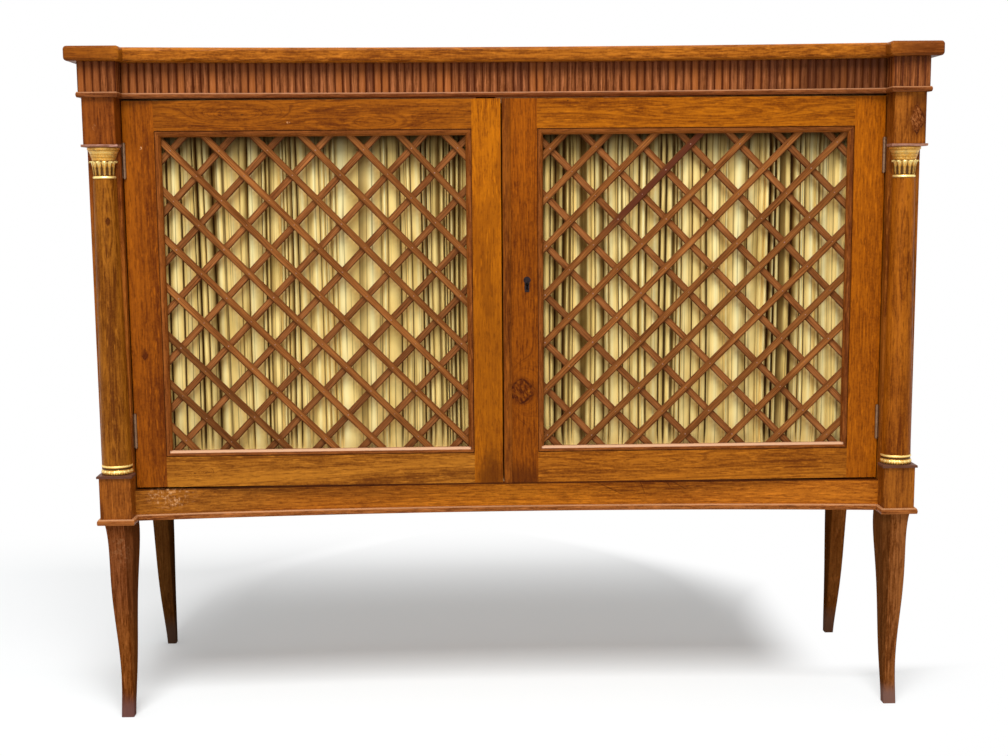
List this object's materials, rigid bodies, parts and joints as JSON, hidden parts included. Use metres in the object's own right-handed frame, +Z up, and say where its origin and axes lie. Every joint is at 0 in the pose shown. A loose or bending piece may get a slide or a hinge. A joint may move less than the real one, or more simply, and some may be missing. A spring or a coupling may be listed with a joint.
{
  "type": "side cabinet",
  "caption": "Free-standing cabinet on tapering legs, with a hollow front, reeded frieze, engaged corner columns and hinged lattice doors backed by gathered cloth.",
  "frame": {"origin": "centre of the outline box at floor level", "axes": "+X to the viewer's right seen from the front, -Y to the front, +Z up"},
  "size_m": [1.32, 0.42, 1.044],
  "materials": {
    "case_wood": "polished walnut, honey brown",
    "top_wood": "polished walnut",
    "door_wood": "polished fruitwood, amber",
    "reed_wood": "polished, red brown",
    "lattice_wood": "polished, red brown",
    "leg_wood": "polished, darker at the feet",
    "column_wood": "polished walnut, red brown",
    "inside_wood": "oiled secondary wood",
    "gilt": "gilding on carved wood",
    "brass": "aged brass",
    "steel": "dark aged steel",
    "silk": "gathered yellow silk"
  },
  "bodies": {
    "case": {"top_board": "top_wood", "frieze_rail_front": "case_wood", "base_rail_front": "case_wood", "case_rails": "case_wood", "frieze_reeding_front": "reed_wood", "frieze_reeding_corners": "reed_wood", "frieze_moulding": "reed_wood", "base_moulding": "reed_wood", "front_post_left": "case_wood", "front_post_right": "case_wood", "back_posts": "case_wood", "side_panels": "case_wood", "back_panel": "inside_wood", "bottom_board": "inside_wood", "shelf": "inside_wood", "shelf_cleats": "inside_wood", "front_leg_left": "leg_wood", "front_leg_right": "leg_wood", "back_leg_left": "leg_wood", "back_leg_right": "leg_wood", "column_left": "column_wood", "column_right": "column_wood", "capitals": "gilt", "column_bases": "gilt", "column_plates": "reed_wood", "door_stops": "inside_wood", "bolt_keepers": "brass", "case_hinge_leaves": "brass", "hinge_pins": "brass", "case_hinge_screws": "steel"},
    "left_door": {"left_hinge_stile": "door_wood", "left_meeting_stile": "door_wood", "left_door_rails": "door_wood", "left_opening_moulding": "reed_wood", "left_lattice_front": "lattice_wood", "left_lattice_back": "lattice_wood", "left_curtain": "silk", "left_curtain_rods": "brass", "left_hinge_leaves": "brass", "left_hinge_screws": "steel", "bolt_guides": "brass", "lock_strike": "brass"},
    "right_door": {"right_hinge_stile": "door_wood", "right_meeting_stile": "door_wood", "right_door_rails": "door_wood", "right_opening_moulding": "reed_wood", "right_lattice_front": "lattice_wood", "right_lattice_back": "lattice_wood", "right_curtain": "silk", "right_curtain_rods": "brass", "right_hinge_leaves": "brass", "right_hinge_screws": "steel", "closing_bead": "door_wood", "keyhole_escutcheon": "steel", "lock_case": "steel"},
    "lock_bolt": {"lock_bolt": "steel"},
    "top_bolt": {"top_bolt": "brass"},
    "bottom_bolt": {"bottom_bolt": "brass"}
  },
  "joints": [
    {"name": "left_door_hinge", "type": "hinge", "parent": "case", "child": "left_door", "pos_m": [-0.58695, -0.1575, 0.665], "axis": [0, 0, -1], "range_deg": [0, 90]},
    {"name": "right_door_hinge", "type": "hinge", "parent": "case", "child": "right_door", "pos_m": [0.58695, -0.1575, 0.665], "axis": [0, 0, 1], "range_deg": [0, 90]},
    {"name": "lock_bolt_slide", "type": "slide", "parent": "right_door", "child": "lock_bolt", "axis": [-1, 0, 0], "range_m": [0, 0.009]},
    {"name": "top_bolt_slide", "type": "slide", "parent": "left_door", "child": "top_bolt", "axis": [0, 0, 1], "range_m": [0, 0.009]},
    {"name": "bottom_bolt_slide", "type": "slide", "parent": "left_door", "child": "bottom_bolt", "axis": [0, 0, -1], "range_m": [0, 0.009]}
  ]
}
